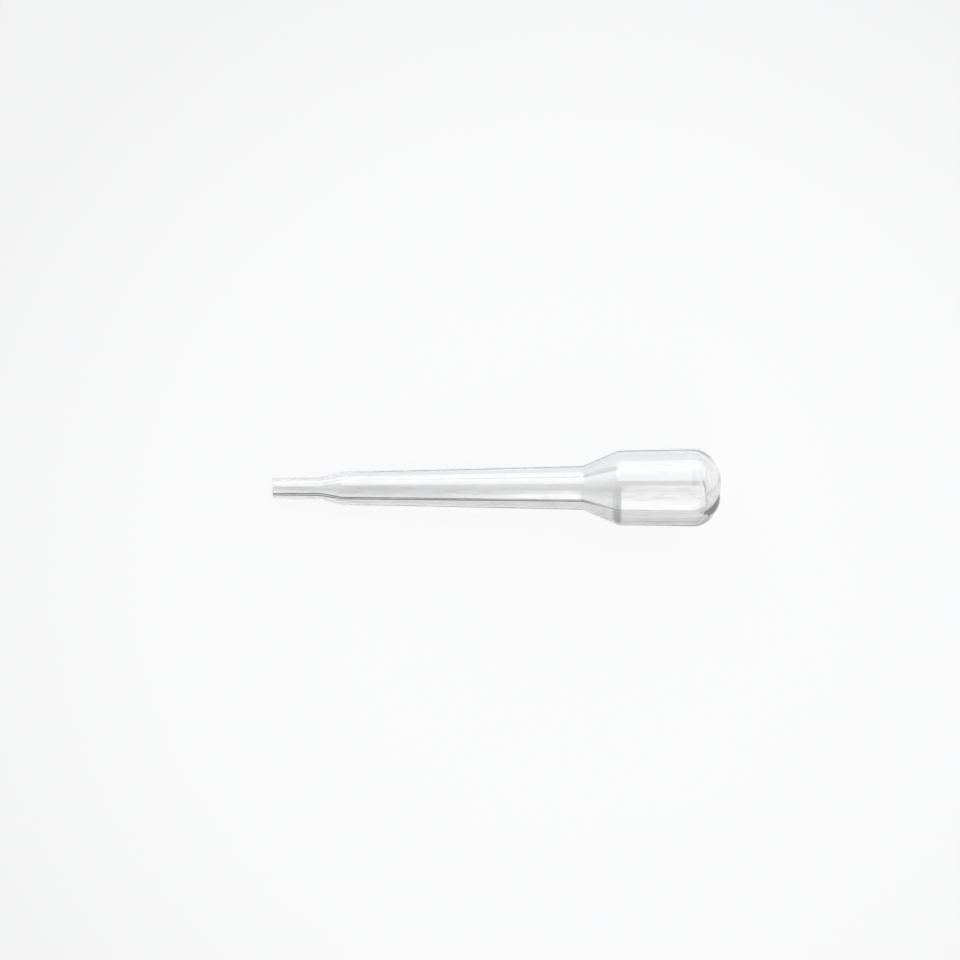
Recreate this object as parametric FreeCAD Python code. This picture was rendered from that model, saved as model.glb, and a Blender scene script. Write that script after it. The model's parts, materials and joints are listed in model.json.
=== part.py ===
import FreeCAD, Part
import math
import os

# A one-piece dropper pipette, blow moulded from clear low-density polyethylene.
# It is made along +X, from the open mouth at the origin to the closed bulb, and
# is then laid down as it rests on a table. All sizes are in millimetres.

# Outside of the tip, the step, the stem and the bulb
mouth_diameter = 4.0
tip_end_diameter = 4.4
stem_front_diameter = 6.4
stem_back_diameter = 8.4
bulb_front_diameter = 14.2
bulb_back_diameter = 14.7
tip_length = 9.2
step_length = 4.0
stem_length = 45.4
shoulder_length = 6.7
bulb_length = 13.9

# Rounds between those lengths
step_root_radius = 1.5
step_crest_radius = 2.0
shoulder_root_radius = 1.5
shoulder_crest_radius = 3.5
corner_radius = 4.5
crown_radius = 10.0

# Walls and the bore of the tip
bore_diameter = 2.8
stem_wall = 0.6
bulb_front_wall = 0.75
bulb_back_wall = 1.0
inner_corner_radius = 3.2

# Mould marks: the parting line, and the seam pinched across the closed end
parting_angle = 37.0
ridge_width = 0.3
ridge_height = 0.08
pinch_depth = 0.85
lobe_radius = 3.2
crease_radius = 0.15
weld_radius = 0.4

# How far the soft wall flattens where it bears on the table
resting_flat = 0.08

# How far a cutting tool reaches past the surface that it cuts
overrun = 1.0
# Height of the lobe's arc over the crown, so that the two meet at a small angle
lobe_poke = 0.06
# How far round the crown's centre the pinched seam is cut, in degrees
pinch_sweep = 176.0

mouth_radius = mouth_diameter / 2
tip_end_radius = tip_end_diameter / 2
stem_front_radius = stem_front_diameter / 2
stem_back_radius = stem_back_diameter / 2
bulb_front_radius = bulb_front_diameter / 2
bulb_back_radius = bulb_back_diameter / 2
bore_radius = bore_diameter / 2

step_start = tip_length
step_end = step_start + step_length
stem_end = step_end + stem_length
shoulder_end = stem_end + shoulder_length
corner_start = shoulder_end + bulb_length

# The crown is a sphere on the axis that the corner's arc meets smoothly
corner_centre_radius = bulb_back_radius - corner_radius
crown_centre = corner_start - math.sqrt(
    (crown_radius - corner_radius) ** 2 - corner_centre_radius ** 2)
end_of_bulb = crown_centre + crown_radius
pinch_radius = crown_radius - pinch_depth


def point(x, r):
    return FreeCAD.Vector(x, 0, r)


def line(start, end):
    return Part.makeLine(start, end)


def arc(start, middle, end):
    return Part.Arc(start, middle, end).toShape()


def rounded_path(corners):
    """Straight runs through (point, radius) corners, with a tangent arc at each."""
    edges = []
    previous = corners[0][0]
    for (before, _), (corner, radius), (after, _) in zip(corners, corners[1:], corners[2:]):
        back = (before - corner).normalize()
        ahead = (after - corner).normalize()
        half_turn = (math.pi - back.getAngle(ahead)) / 2
        start = corner + back * radius * math.tan(half_turn)
        end = corner + ahead * radius * math.tan(half_turn)
        inward = (back + ahead).normalize()
        middle = corner + inward * radius * (1 / math.cos(half_turn) - 1)
        edges += [line(previous, start), arc(start, middle, end)]
        previous = end
    edges.append(line(previous, corners[-1][0]))
    return edges


def outline(mouth_x, moved_in, corner):
    """Half outline from the mouth to the pole, moved in by a distance at each of five places."""
    at_mouth, at_tip_end, at_stem, at_bulb_front, at_bulb_back = moved_in
    step_mitre = math.tan(math.atan2(stem_front_radius - tip_end_radius, step_length) / 2)
    shoulder_mitre = math.tan(
        math.atan2(bulb_front_radius - stem_back_radius, shoulder_length) / 2)
    crown_in = crown_radius - at_bulb_back
    centre_out = bulb_back_radius - at_bulb_back - corner
    centre_along = math.sqrt((crown_in - corner) ** 2 - centre_out ** 2)
    corners = [
        (point(mouth_x, mouth_radius - at_mouth), 0),
        (point(step_start + at_tip_end * step_mitre, tip_end_radius - at_tip_end),
         step_root_radius + at_tip_end),
        (point(step_end + at_stem * step_mitre, stem_front_radius - at_stem),
         step_crest_radius - at_stem),
        (point(stem_end + at_stem * shoulder_mitre, stem_back_radius - at_stem),
         shoulder_root_radius + at_stem),
        (point(shoulder_end + at_bulb_front * shoulder_mitre, bulb_front_radius - at_bulb_front),
         shoulder_crest_radius - at_bulb_front),
        (point(crown_centre + centre_along, bulb_back_radius - at_bulb_back), 0),
    ]
    to_corner = math.atan2(centre_out, centre_along)

    def on_corner(angle):
        return point(crown_centre + centre_along + corner * math.cos(angle),
                     centre_out + corner * math.sin(angle))

    def on_crown(angle):
        return point(crown_centre + crown_in * math.cos(angle), crown_in * math.sin(angle))

    corner_arc = arc(corners[-1][0], on_corner((math.pi / 2 + to_corner) / 2), on_corner(to_corner))
    crown_arc = arc(on_corner(to_corner), on_crown(to_corner / 2), on_crown(0))
    return rounded_path(corners) + [corner_arc, crown_arc]


def half_face(edges):
    """The outline closed along the axis, as a flat face in the XZ plane."""
    start = edges[0].Vertexes[0].Point
    end = edges[-1].Vertexes[-1].Point
    closing = [line(end, point(start.x, 0)), line(point(start.x, 0), start)]
    return Part.Face(Part.Wire(edges + closing))


def turned(edges):
    """The outline turned about the pipette's axis into a solid."""
    return half_face(edges).revolve(FreeCAD.Vector(0, 0, 0), FreeCAD.Vector(1, 0, 0), 360)


# The pinched seam's section has two round lobes with a narrow round between them
lobe_centre_out = crown_radius + lobe_poke - lobe_radius
crease_centre_out = pinch_radius + crease_radius
lobe_angle = math.acos(
    (crease_centre_out ** 2 + lobe_centre_out ** 2 - (lobe_radius + crease_radius) ** 2)
    / (2 * crease_centre_out * lobe_centre_out))


def turned_about_crown(edges):
    """A section beyond the crown turned across the closed end, in the parting plane."""
    centre = FreeCAD.Vector(crown_centre, 0, 0)
    face = Part.Face(Part.Wire(edges))
    face.rotate(centre, FreeCAD.Vector(0, 1, 0), -pinch_sweep / 2)
    return face.revolve(centre, FreeCAD.Vector(0, 1, 0), pinch_sweep)


def across_seam(out, across):
    """A point by its distance out from the crown's centre and across the parting line."""
    return FreeCAD.Vector(crown_centre + out, across, 0)


def pinch_tool(wall, round_radius):
    """What the pinched seam takes off the closed end, moved in by the wall."""
    flank = lobe_radius - wall
    centre_out = lobe_centre_out * math.cos(lobe_angle)
    centre_across = lobe_centre_out * math.sin(lobe_angle)
    reach = flank + round_radius
    turn = math.asin(centre_across / reach)
    round_out = centre_out + reach * math.cos(turn)

    def on_lobe(angle, side):
        return across_seam(centre_out + flank * math.cos(angle),
                           side * (centre_across + flank * math.sin(angle)))

    far = crown_radius + overrun
    lobes = []
    for side in (1, -1):
        lobes.append(arc(on_lobe(lobe_angle, side), on_lobe((lobe_angle - turn) / 2, side),
                         on_lobe(-turn, side)))
    crease = arc(on_lobe(-turn, 1), across_seam(round_out - round_radius, 0), on_lobe(-turn, -1))
    near_a = on_lobe(lobe_angle, 1)
    near_b = on_lobe(lobe_angle, -1)
    far_a = across_seam(far, near_a.y)
    far_b = across_seam(far, near_b.y)
    outside = [line(near_b, far_b), line(far_b, far_a), line(far_a, near_a)]
    return turned_about_crown([lobes[0], crease, lobes[1]] + outside)


def parting_ridge():
    """The thin ridge that the two mould halves leave along one side and in the pinched seam."""
    edges = outline(0, [0] + [-ridge_height] * 4, corner_radius + ridge_height)
    face = half_face(edges)
    face.translate(FreeCAD.Vector(0, -ridge_width / 2, 0))
    plate = face.extrude(FreeCAD.Vector(0, ridge_width, 0))
    near = pinch_radius + ridge_height
    far = crown_radius + overrun
    corners = [across_seam(near, -ridge_width), across_seam(far, -ridge_width),
               across_seam(far, ridge_width), across_seam(near, ridge_width)]
    section = [line(a, b) for a, b in zip(corners, corners[1:] + corners[:1])]
    return plate.cut(turned_about_crown(section))


def crest(x, r, slope_before, slope_after, radius):
    """Centre and radius of the round at an outside corner, as (x, r, radius)."""
    to_centre = radius / math.cos((slope_before - slope_after) / 2)
    middle = (slope_before + slope_after) / 2
    return x + to_centre * math.sin(middle), r - to_centre * math.cos(middle), radius


def slope_along(front_radius, back_radius, length):
    return math.atan2(back_radius - front_radius, length)


def rests():
    """The rounds that can touch a table: those before the middle, and those at the bulb."""
    step_slope = slope_along(tip_end_radius, stem_front_radius, step_length)
    stem_slope = slope_along(stem_front_radius, stem_back_radius, stem_length)
    shoulder_slope = slope_along(stem_back_radius, bulb_front_radius, shoulder_length)
    bulb_slope = slope_along(bulb_front_radius, bulb_back_radius, bulb_length)
    front = [(0, mouth_radius, 0),
             crest(step_end, stem_front_radius, step_slope, stem_slope, step_crest_radius)]
    back = [crest(shoulder_end, bulb_front_radius, shoulder_slope, bulb_slope,
                  shoulder_crest_radius),
            (corner_start, corner_centre_radius, corner_radius)]
    return front, back


def resting_tilt():
    """Slope of the axis, in radians, when the pipette lies on a table."""
    def tangent(first, second):
        run, rise = second[0] - first[0], second[1] - first[1]
        return math.atan2(rise, run) + math.asin((second[2] - first[2]) / math.hypot(run, rise))

    front, back = rests()
    return min(max(tangent(first, second) for second in back) for first in front)


def make_pipette():
    outside = turned(outline(0, [0] * 5, corner_radius)).cut(pinch_tool(0, crease_radius))
    ridge = parting_ridge()
    opposite = ridge.copy()
    opposite.rotate(FreeCAD.Vector(0, 0, 0), FreeCAD.Vector(1, 0, 0), 180)
    walls = [mouth_radius - bore_radius, tip_end_radius - bore_radius, stem_wall,
             bulb_front_wall, bulb_back_wall]
    inside = turned(outline(-overrun, walls, inner_corner_radius))
    inside = inside.cut(pinch_tool(bulb_back_wall, weld_radius))
    return outside.fuse([ridge, opposite]).cut(inside).removeSplitter()


def lay_down(shape):
    """Turn the parting plane, tip the shape to its rest, and flatten what bears on the table."""
    shape.rotate(FreeCAD.Vector(0, 0, 0), FreeCAD.Vector(1, 0, 0), parting_angle)
    tilt = resting_tilt()
    shape.rotate(FreeCAD.Vector(0, 0, 0), FreeCAD.Vector(0, 1, 0), -math.degrees(tilt))
    box = shape.optimalBoundingBox(False, False)
    front, back = rests()
    lowest = max(r * math.cos(tilt) + radius - x * math.sin(tilt) for x, r, radius in front + back)
    shape.translate(FreeCAD.Vector(-(box.XMin + box.XMax) / 2, 0, lowest - resting_flat))
    table = Part.makeBox(box.XLength, box.YLength, overrun,
                         FreeCAD.Vector(-box.XLength / 2, -box.YLength / 2, -overrun))
    return shape.cut(table)


pipette = lay_down(make_pipette())
os.makedirs("parts", exist_ok=True)
pipette.exportStep("parts/pipette.step")
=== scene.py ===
import json
import math
import random

import bpy
from mathutils import Matrix, Vector


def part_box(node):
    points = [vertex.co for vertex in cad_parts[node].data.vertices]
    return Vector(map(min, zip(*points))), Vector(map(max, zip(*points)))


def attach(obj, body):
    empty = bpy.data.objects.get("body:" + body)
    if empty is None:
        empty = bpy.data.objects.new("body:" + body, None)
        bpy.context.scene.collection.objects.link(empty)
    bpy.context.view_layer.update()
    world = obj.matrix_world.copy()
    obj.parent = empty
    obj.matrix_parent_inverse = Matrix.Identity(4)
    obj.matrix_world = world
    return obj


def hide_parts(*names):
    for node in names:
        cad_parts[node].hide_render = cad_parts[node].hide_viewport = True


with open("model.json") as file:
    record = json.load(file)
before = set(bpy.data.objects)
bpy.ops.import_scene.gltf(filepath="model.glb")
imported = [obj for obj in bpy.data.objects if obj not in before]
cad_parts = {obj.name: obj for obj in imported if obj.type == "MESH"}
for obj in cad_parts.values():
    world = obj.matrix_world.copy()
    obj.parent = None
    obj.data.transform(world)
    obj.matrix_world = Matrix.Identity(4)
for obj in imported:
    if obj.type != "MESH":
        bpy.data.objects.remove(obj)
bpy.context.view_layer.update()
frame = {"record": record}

bpy.ops.object.select_all(action="DESELECT")


# The pipette
# One hollow piece of clear low-density polyethylene, blow moulded between two mould
# halves: a narrow open tip, a short step, a long tapered stem, a shoulder and a squeeze
# bulb. Its closed end is pinched shut in the parting plane, which leaves two lobes.

MM = 0.001

tip_length = 9.2 * MM
step_length = 4.0 * MM
stem_length = 45.4 * MM
shoulder_length = 6.7 * MM
bulb_length = 13.9 * MM

mouth_radius = 2.0 * MM
tip_end_radius = 2.2 * MM
stem_front_radius = 3.2 * MM
stem_back_radius = 4.2 * MM
bulb_front_radius = 7.1 * MM
bulb_back_radius = 7.35 * MM

step_root_radius = 1.5 * MM
step_crest_radius = 2.0 * MM
shoulder_root_radius = 1.5 * MM
shoulder_crest_radius = 3.5 * MM
corner_radius = 4.5 * MM
crown_radius = 10.0 * MM

bore_radius = 1.4 * MM
stem_wall = 0.6 * MM
bulb_front_wall = 0.75 * MM
bulb_back_wall = 1.0 * MM
end_wall = 1.4 * MM
inner_corner_radius = 3.2 * MM

cut_edge_radius = 0.05 * MM
pinch_depth = 0.85 * MM
lobe_radius = 3.2 * MM
lobe_poke = 0.06 * MM
crease_radius = 0.15 * MM
seam_overrun = 1.0 * MM
ridge_width = 0.34 * MM
ridge_height = 0.1 * MM
seam_bow = 1.3 * MM
underside_depth = 5.0 * MM
underside_loss = 0.7
ring_before_bulb = 0.35 * MM

parting_angle = math.radians(37)
resting_flat = 0.08 * MM

# The skins' steps along the rounds, and the steps and degrees of each part of their turn
# about the axis, which are finer within 6 degrees of the parting plane
round_steps = 10
corner_steps = 36
crown_steps = 40
turning = ((8, 6), (112, 168), (16, 12), (112, 168), (8, 6))
merge_distance = 0.0005 * MM

step_start = tip_length
step_end = step_start + step_length
stem_end = step_end + stem_length
shoulder_end = stem_end + shoulder_length
corner_start = shoulder_end + bulb_length
crown_centre = corner_start - math.sqrt(
    (crown_radius - corner_radius) ** 2 - (bulb_back_radius - corner_radius) ** 2)


def outline_point(x, radius):
    return Vector((x, 0, radius))


def start_outline(name, place):
    """A mesh of one point, from which the outline is drawn in the XZ plane."""
    bpy.ops.mesh.primitive_plane_add(size=MM)
    skin = bpy.context.object
    skin.name = name
    bpy.ops.object.mode_set(mode="EDIT")
    bpy.ops.mesh.select_all(action="SELECT")
    bpy.ops.mesh.merge(type="CENTER")
    bpy.ops.transform.translate(value=place)
    return skin


def straight_run(start, end, spacing=2.0 * MM):
    """Draws the outline on from its last point, with points along it for later shaping."""
    steps = max(1, round((end - start).length / spacing))
    for _ in range(steps):
        bpy.ops.mesh.extrude_region_move(
            TRANSFORM_OT_translate={"value": (end - start) / steps})


def bend(centre, angle, steps):
    """Draws the outline on by an arc about a centre, turning towards the axis if positive."""
    bpy.ops.mesh.spin(steps=steps, angle=abs(angle), center=centre,
                      axis=(0, -1 if angle > 0 else 1, 0))


def turned_skin(name, corners, corner, crown):
    """One skin of the wall: straight runs with rounds between them, the corner and the crown,
    turned about the pipette's axis. Each corner is a point with the radius of its round."""
    centre_radius = corners[-1][0].z - corner
    centre_along = math.sqrt((crown - corner) ** 2 - centre_radius ** 2)
    corners[-1][0].x = crown_centre + centre_along
    skin = start_outline(name, corners[0][0])
    last = corners[0][0]
    for (before, _), (here, radius), (after, _) in zip(corners, corners[1:], corners[2:]):
        back = (before - here).normalized()
        ahead = (after - here).normalized()
        turn = math.pi - back.angle(ahead)
        start = here + back * radius * math.tan(turn / 2)
        straight_run(last, start)
        outside = back.cross(ahead).y < 0
        normal = Vector((-back.z, 0, back.x)) if outside else Vector((back.z, 0, -back.x))
        bend(start + normal * radius, turn if outside else -turn, round_steps)
        last = here + ahead * radius * math.tan(turn / 2)
    straight_run(last, corners[-1][0])
    to_corner = math.atan2(centre_radius, centre_along)
    bend(outline_point(corners[-1][0].x, centre_radius), math.pi / 2 - to_corner, corner_steps)
    bend(outline_point(crown_centre, 0), to_corner, crown_steps)
    bpy.ops.mesh.select_all(action="SELECT")
    for steps, turn in turning:
        bpy.ops.mesh.spin(steps=steps, angle=math.radians(turn), center=(0, 0, 0), axis=(1, 0, 0))
    bpy.ops.mesh.select_all(action="SELECT")
    bpy.ops.mesh.remove_doubles(threshold=merge_distance)
    bpy.ops.object.mode_set(mode="OBJECT")
    return skin


cut_middle = outline_point(0, (mouth_radius + bore_radius) / 2)
outer = turned_skin("pipette_outside", [
    (cut_middle, 0),
    (outline_point(0, mouth_radius), cut_edge_radius),
    (outline_point(step_start, tip_end_radius), step_root_radius),
    (outline_point(step_end, stem_front_radius), step_crest_radius),
    (outline_point(stem_end, stem_back_radius), shoulder_root_radius),
    (outline_point(shoulder_end, bulb_front_radius), shoulder_crest_radius),
    (outline_point(corner_start, bulb_back_radius), 0),
], corner_radius, crown_radius)

step_mitre = math.tan(math.atan2(stem_front_radius - tip_end_radius, step_length) / 2)
shoulder_mitre = math.tan(math.atan2(bulb_front_radius - stem_back_radius, shoulder_length) / 2)
inner = turned_skin("pipette_inside", [
    (cut_middle, 0),
    (outline_point(0, bore_radius), cut_edge_radius),
    (outline_point(step_start + (tip_end_radius - bore_radius) * step_mitre, bore_radius),
     step_root_radius + tip_end_radius - bore_radius),
    (outline_point(step_end + stem_wall * step_mitre, stem_front_radius - stem_wall),
     step_crest_radius - stem_wall),
    (outline_point(stem_end + stem_wall * shoulder_mitre, stem_back_radius - stem_wall),
     shoulder_root_radius + stem_wall),
    (outline_point(shoulder_end + bulb_front_wall * shoulder_mitre,
                   bulb_front_radius - bulb_front_wall),
     shoulder_crest_radius - bulb_front_wall),
    (outline_point(corner_start, bulb_back_radius - bulb_back_wall), 0),
], inner_corner_radius, crown_radius - end_wall)

# The pinched seam: two round lobes with a narrow crease between them. It bows to one side as
# it goes over the end, where the thick wall is smooth inside, and is shallower underneath.
lobe_centre = crown_radius + lobe_poke - lobe_radius
crease_centre = crown_radius - pinch_depth + crease_radius
lobe_angle = math.acos(
    (crease_centre ** 2 + lobe_centre ** 2 - (lobe_radius + crease_radius) ** 2)
    / (2 * crease_centre * lobe_centre))


def off_seam(place):
    """How far a point lies to the side of the parting plane or, at the end, of the seam."""
    share = min(1, max(0, (place.x - corner_start) / (crown_centre + crown_radius - corner_start)))
    return place.y + seam_bow * share * share * (3 - 2 * share)


def pinched_out(across):
    """How far out from the crown's centre the pinched seam leaves the skin, if it reaches it."""
    centre_out = lobe_centre * math.cos(lobe_angle)
    centre_across = lobe_centre * math.sin(lobe_angle)
    if abs(across) > centre_across + lobe_radius * math.sin(lobe_angle):
        return None
    turn = math.asin(centre_across / (lobe_radius + crease_radius))
    if abs(across) < crease_radius * math.sin(turn):
        round_out = centre_out + (lobe_radius + crease_radius) * math.cos(turn)
        return round_out - math.sqrt(crease_radius ** 2 - across ** 2)
    return centre_out + math.sqrt(lobe_radius ** 2 - (abs(across) - centre_across) ** 2)


for vertex in outer.data.vertices:
    out = Vector((vertex.co.x - crown_centre, 0, vertex.co.z))
    limit = pinched_out(off_seam(vertex.co))
    if out.x > -seam_overrun and limit and out.length > limit:
        kept = 1 - underside_loss * min(1, max(0, -out.z / underside_depth))
        out *= 1 + kept * (limit / out.length - 1)
        vertex.co.x = crown_centre + out.x
        vertex.co.z = out.z

# The fine ridge of the parting line, which runs along both sides and through the crease
for vertex in outer.data.vertices:
    from_plane = abs(off_seam(vertex.co)) / (ridge_width / 2)
    if from_plane < 1 and vertex.co.x > cut_edge_radius / 2:
        rise = ridge_height * (1 - from_plane ** 2)
        if vertex.co.x > crown_centre:
            away = Vector((vertex.co.x - crown_centre, 0, vertex.co.z)).normalized()
        else:
            away = Vector((0, 0, vertex.co.z)).normalized()
        vertex.co += away * rise

# The wall is a little uneven, as it comes from the die, with long ripples on the inside. The
# finer ones are lower, and all fade out at the step and at the middle of the end.
ripple_height = 0.01 * MM
half_height_turns = 12
ripple_turns = (1, 2, 3, 4, 5, 7, 8, 11, 13, 17, 19, 23, 29, 31, 37, 43)
fade_length = 4.0 * MM
fade_radius = 3.0 * MM
ripples = random.Random(11)
waves = [(turns, ripples.uniform(0, 2 * math.pi), ripple_height / (1 + turns / half_height_turns))
         for turns in ripple_turns]
for vertex in inner.data.vertices:
    angle = math.atan2(vertex.co.z, vertex.co.y)
    radius = math.hypot(vertex.co.y, vertex.co.z)
    if radius > 0:
        fade = (min(1, radius / fade_radius)
                * min(1, max(0, vertex.co.x - step_end) / fade_length))
        shift = fade * sum(size * math.cos(turns * angle + phase)
                           for turns, phase, size in waves)
        vertex.co.y *= 1 + shift / radius
        vertex.co.z *= 1 + shift / radius

# Both skins are joined in the middle of the cut end
bpy.ops.object.select_all(action="DESELECT")
outer.select_set(True)
inner.select_set(True)
bpy.context.view_layer.objects.active = outer
bpy.ops.object.join()
pipette = outer
pipette.name = "pipette_body"
bpy.ops.object.mode_set(mode="EDIT")
bpy.ops.mesh.select_all(action="SELECT")
bpy.ops.mesh.remove_doubles(threshold=merge_distance)
bpy.ops.mesh.normals_make_consistent(inside=False)
bpy.ops.object.mode_set(mode="OBJECT")
bpy.ops.object.shade_smooth_by_angle(angle=math.radians(50))

# It lies on its side with its parting plane turned, and its mouth at the bore of the tip
bore = frame["record"]["mounts"][0]
mouth = Vector(bore["pos_m"])
tilt = math.atan2(-bore["axis"][2], -bore["axis"][0])
pipette.matrix_world = (Matrix.Translation(mouth) @ Matrix.Rotation(-tilt, 4, "Y")
                        @ Matrix.Rotation(parting_angle, 4, "X"))
bpy.ops.object.transform_apply(location=True, rotation=True, scale=True)

# The end, which the bowed seam made a little longer, is brought back to the pipette's length,
# and the soft wall is flattened where it bears on the table
low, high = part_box("pipette")
cap_start = mouth.x + corner_start * math.cos(tilt)
cap_end = max(vertex.co.x for vertex in pipette.data.vertices)
for vertex in pipette.data.vertices:
    if vertex.co.x > cap_start:
        along_cap = (vertex.co.x - cap_start) / (cap_end - cap_start)
        vertex.co.x = cap_start + along_cap * (high.x - cap_start)
    if abs(vertex.co.z) < resting_flat:
        vertex.co.z = (vertex.co.z + resting_flat) ** 2 / (4 * resting_flat)

# The streak colour serves both the die streaks and the painted shade on the near side
die_streak_and_shade_colour = (0.84, 0.83, 0.81, 1)
clean_colour = (0.995, 0.997, 1, 1)
# This near-black colour is painted shade, on the upper parting line and on the ring at the
# shoulder
painted_shade_colour = (0.06, 0.055, 0.05, 1)
scar_roughness = 0.35
clear = bpy.data.materials.new("clear_polyethylene")
clear.use_nodes = True
nodes, links = clear.node_tree.nodes, clear.node_tree.links
shader = nodes["Principled BSDF"]
shader.inputs["IOR"].default_value = 1.51
shader.inputs["Transmission Weight"].default_value = 0.95
shader.inputs["Coat Weight"].default_value = 1.0
shader.inputs["Coat Roughness"].default_value = 0.03
shader.inputs["Coat IOR"].default_value = 1.5

# Faint streaks along the length, as the hot tube was drawn from the die. They are weaker on the
# far side and stronger on the near side, where they are partly painted shade.
place = nodes.new("ShaderNodeTexCoord")
along = nodes.new("ShaderNodeMapping")
along.inputs["Rotation"].default_value = (0, tilt, 0)
along.inputs["Scale"].default_value = (20, 2400, 2400)
streaks = nodes.new("ShaderNodeTexNoise")
streaks.inputs["Scale"].default_value = 1.0
streaks.inputs["Detail"].default_value = 4.0
streaks.inputs["Roughness"].default_value = 0.6
# Painted shade: by their side of the table, the streaks grow stronger towards the near side
near_side_streak_shade = nodes.new("ShaderNodeMapRange")
near_side_streak_shade.inputs["From Min"].default_value = -MM
near_side_streak_shade.inputs["From Max"].default_value = 1.5 * MM
near_side_streak_shade.inputs["To Min"].default_value = 0
near_side_streak_shade.inputs["To Max"].default_value = 0.11
place_parts = nodes.new("ShaderNodeSeparateXYZ")
streak_and_shade_level = nodes.new("ShaderNodeMath")
streak_and_shade_level.operation = "ADD"
streak_and_shade_tint = nodes.new("ShaderNodeValToRGB")
streak_and_shade_tint.color_ramp.elements[0].position = 0.34
streak_and_shade_tint.color_ramp.elements[0].color = die_streak_and_shade_colour
streak_and_shade_tint.color_ramp.elements[1].position = 0.46
streak_and_shade_tint.color_ramp.elements[1].color = clean_colour
links.new(place.outputs["Object"], along.inputs["Vector"])
links.new(along.outputs["Vector"], streaks.inputs["Vector"])
links.new(place.outputs["Object"], place_parts.inputs["Vector"])
links.new(place_parts.outputs["Y"], near_side_streak_shade.inputs["Value"])
links.new(streaks.outputs["Fac"], streak_and_shade_level.inputs[0])
links.new(near_side_streak_shade.outputs["Result"], streak_and_shade_level.inputs[1])
links.new(streak_and_shade_level.outputs["Value"], streak_and_shade_tint.inputs["Fac"])

# The upper parting line is painted dark along the tip and the stem as painted shade along the
# ridge, fading at the bulb. It is found in the pipette's own frame, with X along the axis and Y
# off the parting plane.
seam_frame = nodes.new("ShaderNodeMapping")
seam_frame.vector_type = "TEXTURE"
seam_frame.inputs["Location"].default_value = mouth
seam_frame.inputs["Rotation"].default_value = (
    Matrix.Rotation(-tilt, 3, "Y") @ Matrix.Rotation(parting_angle, 3, "X")).to_euler()
seam_parts = nodes.new("ShaderNodeSeparateXYZ")
off_plane = nodes.new("ShaderNodeMath")
off_plane.operation = "ABSOLUTE"
on_line = nodes.new("ShaderNodeMapRange")
on_line.inputs["From Min"].default_value = 0.07 * MM
on_line.inputs["From Max"].default_value = 0.18 * MM
on_line.inputs["To Min"].default_value = 1
on_line.inputs["To Max"].default_value = 0
above = nodes.new("ShaderNodeMapRange")
above.inputs["From Min"].default_value = 0
above.inputs["From Max"].default_value = MM
before_bulb = nodes.new("ShaderNodeMapRange")
before_bulb.inputs["From Min"].default_value = stem_end
before_bulb.inputs["From Max"].default_value = shoulder_end
before_bulb.inputs["To Min"].default_value = 1
before_bulb.inputs["To Max"].default_value = 0.1
upper_line = nodes.new("ShaderNodeMath")
upper_line.operation = "MULTIPLY"
# Painted shade: a dark line along the upper parting ridge, fading towards the bulb
painted_seam_shade = nodes.new("ShaderNodeMath")
painted_seam_shade.operation = "MULTIPLY"

# The ring at the shoulder's wide end gets painted shade, greyer towards the near side
from_ring = nodes.new("ShaderNodeMath")
from_ring.operation = "SUBTRACT"
from_ring.inputs[1].default_value = shoulder_end - ring_before_bulb
off_ring = nodes.new("ShaderNodeMath")
off_ring.operation = "ABSOLUTE"
on_ring = nodes.new("ShaderNodeMapRange")
on_ring.inputs["From Min"].default_value = 0.4 * MM
on_ring.inputs["From Max"].default_value = 1.0 * MM
on_ring.inputs["To Min"].default_value = 1
on_ring.inputs["To Max"].default_value = 0
# Painted shade: the ring darkens towards the near side of the table
near_side = nodes.new("ShaderNodeMapRange")
near_side.inputs["From Min"].default_value = -6.8 * MM
near_side.inputs["From Max"].default_value = 1.5 * MM
near_side.inputs["To Min"].default_value = 0.7
near_side.inputs["To Max"].default_value = 0
nearer = nodes.new("ShaderNodeMath")
nearer.operation = "MULTIPLY"
ring = nodes.new("ShaderNodeMath")
ring.operation = "MULTIPLY"
darker = nodes.new("ShaderNodeMath")
darker.operation = "MAXIMUM"
colour = nodes.new("ShaderNodeMix")
colour.data_type = "RGBA"
colour.inputs["B"].default_value = painted_shade_colour
links.new(place.outputs["Object"], seam_frame.inputs["Vector"])
links.new(seam_frame.outputs["Vector"], seam_parts.inputs["Vector"])
links.new(seam_parts.outputs["Y"], off_plane.inputs[0])
links.new(off_plane.outputs["Value"], on_line.inputs["Value"])
links.new(seam_parts.outputs["Z"], above.inputs["Value"])
links.new(seam_parts.outputs["X"], before_bulb.inputs["Value"])
links.new(on_line.outputs["Result"], upper_line.inputs[0])
links.new(above.outputs["Result"], upper_line.inputs[1])
links.new(upper_line.outputs["Value"], painted_seam_shade.inputs[0])
links.new(before_bulb.outputs["Result"], painted_seam_shade.inputs[1])
links.new(seam_parts.outputs["X"], from_ring.inputs[0])
links.new(from_ring.outputs["Value"], off_ring.inputs[0])
links.new(off_ring.outputs["Value"], on_ring.inputs["Value"])
links.new(place_parts.outputs["Y"], near_side.inputs["Value"])
links.new(on_ring.outputs["Result"], ring.inputs[0])
links.new(near_side.outputs["Result"], nearer.inputs[0])
links.new(near_side.outputs["Result"], nearer.inputs[1])
links.new(nearer.outputs["Value"], ring.inputs[1])
links.new(painted_seam_shade.outputs["Value"], darker.inputs[0])
links.new(ring.outputs["Value"], darker.inputs[1])
links.new(darker.outputs["Value"], colour.inputs["Factor"])
links.new(streak_and_shade_tint.outputs["Color"], colour.inputs["A"])
links.new(colour.outputs["Result"], shader.inputs["Base Color"])

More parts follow.
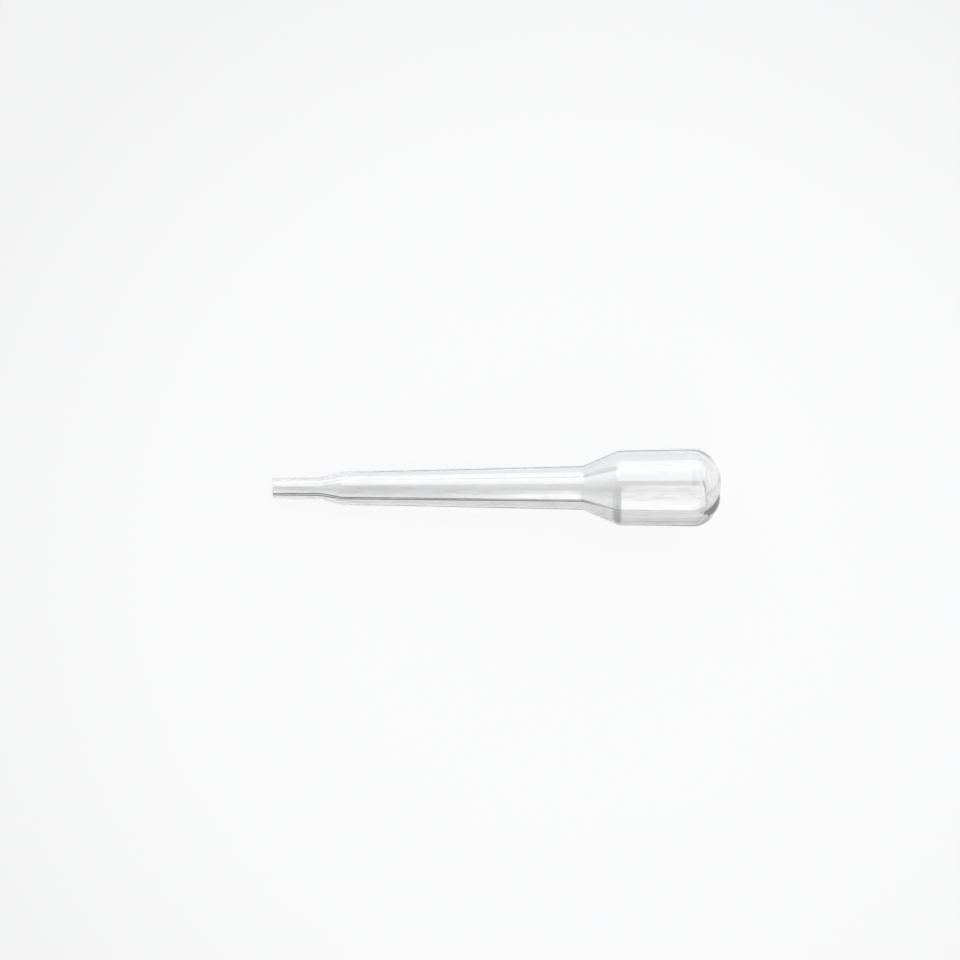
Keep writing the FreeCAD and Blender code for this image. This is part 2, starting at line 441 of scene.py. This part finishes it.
# The skin is glossy with slightly duller patches, and rough where the end was pinched off
patches = nodes.new("ShaderNodeTexNoise")
patches.inputs["Scale"].default_value = 220.0
patches.inputs["Detail"].default_value = 4.0
dullness = nodes.new("ShaderNodeMapRange")
dullness.inputs["From Min"].default_value = 0.3
dullness.inputs["From Max"].default_value = 0.75
dullness.inputs["To Min"].default_value = 0.03
dullness.inputs["To Max"].default_value = 0.14
near_seam = nodes.new("ShaderNodeMapRange")
near_seam.inputs["From Min"].default_value = 0.2 * MM
near_seam.inputs["From Max"].default_value = 0.7 * MM
near_seam.inputs["To Min"].default_value = 1
near_seam.inputs["To Max"].default_value = 0
at_end = nodes.new("ShaderNodeMapRange")
at_end.inputs["From Min"].default_value = corner_start
at_end.inputs["From Max"].default_value = corner_start + 1.5 * MM
scar = nodes.new("ShaderNodeMath")
scar.operation = "MULTIPLY"
roughness = nodes.new("ShaderNodeMath")
roughness.operation = "MULTIPLY_ADD"
roughness.inputs[1].default_value = scar_roughness
links.new(place.outputs["Object"], patches.inputs["Vector"])
links.new(patches.outputs["Fac"], dullness.inputs["Value"])
links.new(off_plane.outputs["Value"], near_seam.inputs["Value"])
links.new(seam_parts.outputs["X"], at_end.inputs["Value"])
links.new(near_seam.outputs["Result"], scar.inputs[0])
links.new(at_end.outputs["Result"], scar.inputs[1])
links.new(scar.outputs["Value"], roughness.inputs[0])
links.new(dullness.outputs["Result"], roughness.inputs[2])
links.new(roughness.outputs["Value"], shader.inputs["Roughness"])

pipette.data.materials.clear()
pipette.data.materials.append(clear)

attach(pipette, "root")
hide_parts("pipette")


# The floor
# A plain white table top that runs on past the view, matt, so that it shows only the
# pipette's soft shadow. It is white paper with an even glow, as if lit from below.

bpy.ops.mesh.primitive_plane_add(size=6)
floor = bpy.context.object
floor.name = "floor"
paper_colour = (0.86, 0.865, 0.87, 1)
glow_colour = (0.98, 0.982, 0.992, 1)
paper = bpy.data.materials.new("white_paper")
paper.use_nodes = True
nodes, links = paper.node_tree.nodes, paper.node_tree.links
sheet = nodes["Principled BSDF"]
sheet.inputs["Base Color"].default_value = paper_colour
sheet.inputs["Roughness"].default_value = 0.9
sheet.inputs["Specular IOR Level"].default_value = 0.1

# The glow is a painted pool of light, brightest round a point beside the pipette. Seen in and
# through the pipette it is weaker, and fades into painted shade towards the near side.
glow_share_seen = 0.9
glow_share_through = 0.68
glow = nodes.new("ShaderNodeEmission")
glow.inputs["Color"].default_value = glow_colour
spot = nodes.new("ShaderNodeTexCoord")
spot_parts = nodes.new("ShaderNodeSeparateXYZ")
# Painted shade: seen in and through the pipette, the glow fades towards the near side
shade = nodes.new("ShaderNodeMapRange")
shade.inputs["From Min"].default_value = -26 * MM
shade.inputs["From Max"].default_value = -8 * MM
shade.inputs["To Min"].default_value = 0.1
shade.inputs["To Max"].default_value = 1
from_middle = nodes.new("ShaderNodeVectorMath")
from_middle.operation = "DISTANCE"
from_middle.inputs[1].default_value = (15 * MM, -15 * MM, 0)
# Painted pool of light: the glow falls off away from a point beside the pipette
painted_light_pool = nodes.new("ShaderNodeMapRange")
painted_light_pool.interpolation_type = "SMOOTHSTEP"
painted_light_pool.inputs["From Min"].default_value = 40 * MM
painted_light_pool.inputs["From Max"].default_value = 170 * MM
painted_light_pool.inputs["To Min"].default_value = 1
painted_light_pool.inputs["To Max"].default_value = 0.9
path = nodes.new("ShaderNodeLightPath")
side_share = nodes.new("ShaderNodeMath")
side_share.operation = "MAXIMUM"
glow_strength = nodes.new("ShaderNodeMath")
glow_strength.operation = "MULTIPLY"
through = nodes.new("ShaderNodeMath")
through.operation = "MAXIMUM"
through_share = nodes.new("ShaderNodeMath")
through_share.operation = "MULTIPLY"
through_share.inputs[1].default_value = glow_share_through
share = nodes.new("ShaderNodeMath")
share.operation = "MULTIPLY_ADD"
share.inputs[1].default_value = glow_share_seen
mix = nodes.new("ShaderNodeMixShader")
links.new(spot.outputs["Object"], spot_parts.inputs["Vector"])
links.new(spot_parts.outputs["Y"], shade.inputs["Value"])
links.new(spot.outputs["Object"], from_middle.inputs[0])
links.new(from_middle.outputs["Value"], painted_light_pool.inputs["Value"])
links.new(shade.outputs["Result"], side_share.inputs[0])
links.new(path.outputs["Is Camera Ray"], side_share.inputs[1])
links.new(side_share.outputs["Value"], glow_strength.inputs[0])
links.new(painted_light_pool.outputs["Result"], glow_strength.inputs[1])
links.new(glow_strength.outputs["Value"], glow.inputs["Strength"])
links.new(path.outputs["Is Glossy Ray"], through.inputs[0])
links.new(path.outputs["Is Transmission Ray"], through.inputs[1])
links.new(through.outputs["Value"], through_share.inputs[0])
links.new(path.outputs["Is Camera Ray"], share.inputs[0])
links.new(through_share.outputs["Value"], share.inputs[2])
links.new(share.outputs["Value"], mix.inputs["Fac"])
links.new(sheet.outputs["BSDF"], mix.inputs[1])
links.new(glow.outputs["Emission"], mix.inputs[2])
links.new(mix.outputs["Shader"], nodes["Material Output"].inputs["Surface"])
floor.data.materials.append(paper)


# The light
# Two wide soft lamps slope over the table from both sides. The far one comes down to the table
# and starts a little off the vertical. The near one starts overhead and lies mostly on the
# bulb's side. Round them is a room that is pale near the table and dark above.

lamp_distance = 3.2


def softbox(name, lowest, highest, left, right, colour, watts):
    """A soft lamp that faces the pipette and spans the given heights, in degrees from the far
    side's table top, and the given left and right ends, in metres from the pipette's middle."""
    middle = math.radians((lowest + highest) / 2)
    lamp_data = bpy.data.lights.new(name, "AREA")
    lamp_data.shape = "RECTANGLE"
    lamp_data.size = right - left
    lamp_data.size_y = 2 * lamp_distance * math.tan(math.radians((highest - lowest) / 2))
    lamp_data.color = colour
    lamp_data.energy = watts
    lamp = bpy.data.objects.new(name, lamp_data)
    bpy.context.collection.objects.link(lamp)
    lamp.location = (0, lamp_distance * math.cos(middle), lamp_distance * math.sin(middle))
    lamp.rotation_euler = (-lamp.location).to_track_quat("-Z", "Y").to_euler()
    lamp.location.x = (left + right) / 2
    lamp.visible_camera = False


softbox("far_softbox", lowest=2, highest=70.5, left=-2.4, right=4,
        colour=(0.975, 0.99, 1.0), watts=119)
softbox("near_softbox", lowest=85, highest=164, left=-0.53, right=4.4,
        colour=(1.0, 0.975, 0.945), watts=126)

# The room is lit near the table only, less on the near side, and looks even behind the table
room_light = 0.95
room_dark = 0.05
room_seen = 0.93
room = bpy.data.worlds.new("room")
bpy.context.scene.world = room
room.use_nodes = True
nodes, links = room.node_tree.nodes, room.node_tree.links
nodes["Background"].inputs["Color"].default_value = (0.975, 0.985, 1.0, 1)
direction = nodes.new("ShaderNodeTexCoord")
parts = nodes.new("ShaderNodeSeparateXYZ")
height = nodes.new("ShaderNodeMapRange")
height.inputs["From Min"].default_value = 0.45
height.inputs["From Max"].default_value = 0.7
height.inputs["To Min"].default_value = 1
height.inputs["To Max"].default_value = 0
far_side = nodes.new("ShaderNodeMapRange")
far_side.inputs["From Min"].default_value = -0.4
far_side.inputs["From Max"].default_value = 0.1
far_side.inputs["To Min"].default_value = 0.3
horizon = nodes.new("ShaderNodeMath")
horizon.operation = "MULTIPLY"
lit = nodes.new("ShaderNodeMath")
lit.operation = "MULTIPLY_ADD"
lit.inputs[1].default_value = room_light
lit.inputs[2].default_value = room_dark
path = nodes.new("ShaderNodeLightPath")
backdrop = nodes.new("ShaderNodeMath")
backdrop.operation = "MULTIPLY"
backdrop.inputs[1].default_value = room_seen
strength = nodes.new("ShaderNodeMath")
strength.operation = "MAXIMUM"
links.new(direction.outputs["Generated"], parts.inputs["Vector"])
links.new(parts.outputs["Z"], height.inputs["Value"])
links.new(parts.outputs["Y"], far_side.inputs["Value"])
links.new(height.outputs["Result"], horizon.inputs[0])
links.new(far_side.outputs["Result"], horizon.inputs[1])
links.new(horizon.outputs["Value"], lit.inputs[0])
links.new(path.outputs["Is Camera Ray"], backdrop.inputs[0])
links.new(lit.outputs["Value"], strength.inputs[0])
links.new(backdrop.outputs["Value"], strength.inputs[1])
links.new(strength.outputs["Value"], nodes["Background"].inputs["Strength"])


# The camera
# It looks straight down from well above, with the pipette a little off the middle of the view.

off_middle = Vector((-3.0 * MM, 1.5 * MM, 600 * MM))
roll = math.radians(-0.15)
camera_data = bpy.data.cameras.new("camera")
camera_data.sensor_width = 36
camera_data.lens = 120
camera = bpy.data.objects.new("camera", camera_data)
bpy.context.collection.objects.link(camera)
camera.location = (low + high) / 2 + off_middle
camera.rotation_euler = (0, 0, roll)
bpy.context.scene.camera = camera

bpy.context.scene.view_settings.view_transform = "Standard"
